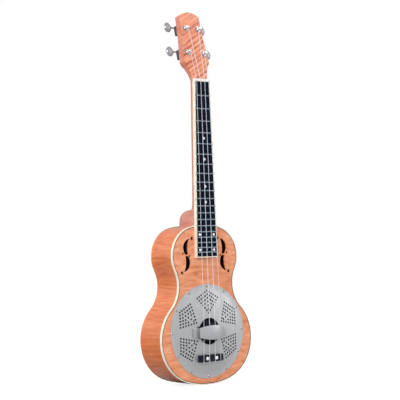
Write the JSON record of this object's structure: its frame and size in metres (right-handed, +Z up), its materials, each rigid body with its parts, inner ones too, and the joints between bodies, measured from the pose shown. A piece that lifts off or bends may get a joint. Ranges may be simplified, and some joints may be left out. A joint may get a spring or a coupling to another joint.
{
  "type": "resonator ukulele",
  "caption": "Resonator ukulele with a flamed maple body, round perforated metal cover plate, bound neck, slim angled headstock and geared tuners.",
  "frame": {"origin": "on the resonator's axis, at the outer face of the back", "axes": "+Z up the neck towards the headstock, -Y out of the face towards the player's audience, +X to the right when the face is looked at"},
  "size_m": [0.201, 0.079, 0.6507],
  "materials": {
    "figured_maple": "amber gloss lacquer over flamed maple",
    "cream_binding": "polished cream celluloid",
    "black_inlay": "black celluloid",
    "spruce": "bare sawn wood",
    "nickel_plate": "satin nickel plating",
    "spun_aluminium": "spun, with fine turning rings",
    "ebony": "oiled black hardwood",
    "pearl": "white pearl inlay",
    "bone": "polished bone",
    "fret_wire": "nickel silver",
    "nylon": "clear nylon",
    "steel": "nickel-plated steel",
    "chrome": "polished chrome"
  },
  "bodies": {
    "root": {"soundboard": "figured_maple", "back": "figured_maple", "side_bass": "figured_maple", "side_treble": "figured_maple", "front_binding": "cream_binding", "front_purfling": "black_inlay", "front_lining": "spruce", "back_lining": "spruce", "neck_block": "spruce", "tail_block": "spruce", "back_braces": "spruce", "soundwell": "spruce", "cover_plate": "nickel_plate", "cover_plate_screws": "steel", "hand_rest": "nickel_plate", "cone": "spun_aluminium", "biscuit": "ebony", "biscuit_screw": "steel", "saddle": "ebony", "tie_block": "ebony", "tie_block_bolts": "steel", "tie_block_nuts": "steel", "tie_block_dots": "pearl", "neck": "figured_maple", "neck_bolts": "steel", "headstock_veneer": "figured_maple", "fingerboard": "ebony", "fingerboard_binding": "cream_binding", "frets": "fret_wire", "nut": "bone", "face_markers": "pearl", "side_markers": "black_inlay", "string_1": "nylon", "string_2": "nylon", "string_3": "nylon", "string_4": "nylon", "tuner_housings": "chrome", "tuner_bushings": "chrome", "tuner_washers": "chrome", "tuner_screws": "steel"},
    "tuner_knob_1": {"tuner_worm_1": "chrome", "tuner_button_1": "chrome", "button_screw_1": "chrome"},
    "string_post_1": {"tuner_post_1": "chrome", "tuner_gear_1": "chrome"},
    "tuner_knob_2": {"tuner_worm_2": "chrome", "tuner_button_2": "chrome", "button_screw_2": "chrome"},
    "string_post_2": {"tuner_post_2": "chrome", "tuner_gear_2": "chrome"},
    "tuner_knob_3": {"tuner_worm_3": "chrome", "tuner_button_3": "chrome", "button_screw_3": "chrome"},
    "string_post_3": {"tuner_post_3": "chrome", "tuner_gear_3": "chrome"},
    "tuner_knob_4": {"tuner_worm_4": "chrome", "tuner_button_4": "chrome", "button_screw_4": "chrome"},
    "string_post_4": {"tuner_post_4": "chrome", "tuner_gear_4": "chrome"}
  },
  "joints": [
    {"name": "knob_turn_1", "type": "hinge", "parent": "root", "child": "tuner_knob_1", "pos_m": [-0.042, -0.03055, 0.48656], "axis": [-1, 0, 0], "continuous": true},
    {"name": "post_turn_1", "type": "hinge", "parent": "root", "child": "string_post_1", "pos_m": [-0.018, -0.03188, 0.4803], "axis": [0, -0.9781, 0.2079], "continuous": true},
    {"name": "knob_turn_2", "type": "hinge", "parent": "root", "child": "tuner_knob_2", "pos_m": [-0.038, -0.0212, 0.53058], "axis": [-1, 0, 0], "continuous": true},
    {"name": "post_turn_2", "type": "hinge", "parent": "root", "child": "string_post_2", "pos_m": [-0.014, -0.02253, 0.52432], "axis": [0, -0.9781, 0.2079], "continuous": true},
    {"name": "knob_turn_3", "type": "hinge", "parent": "root", "child": "tuner_knob_3", "pos_m": [0.038, -0.0212, 0.53058], "axis": [1, 0, 0], "continuous": true},
    {"name": "post_turn_3", "type": "hinge", "parent": "root", "child": "string_post_3", "pos_m": [0.014, -0.02253, 0.52432], "axis": [0, -0.9781, 0.2079], "continuous": true},
    {"name": "knob_turn_4", "type": "hinge", "parent": "root", "child": "tuner_knob_4", "pos_m": [0.042, -0.03055, 0.48656], "axis": [1, 0, 0], "continuous": true},
    {"name": "post_turn_4", "type": "hinge", "parent": "root", "child": "string_post_4", "pos_m": [0.018, -0.03188, 0.4803], "axis": [0, -0.9781, 0.2079], "continuous": true}
  ],
  "couplings": [
    {"joint": "post_turn_1", "follows": "knob_turn_1", "ratio": -0.071429},
    {"joint": "post_turn_2", "follows": "knob_turn_2", "ratio": -0.071429},
    {"joint": "post_turn_3", "follows": "knob_turn_3", "ratio": -0.071429},
    {"joint": "post_turn_4", "follows": "knob_turn_4", "ratio": -0.071429}
  ]
}
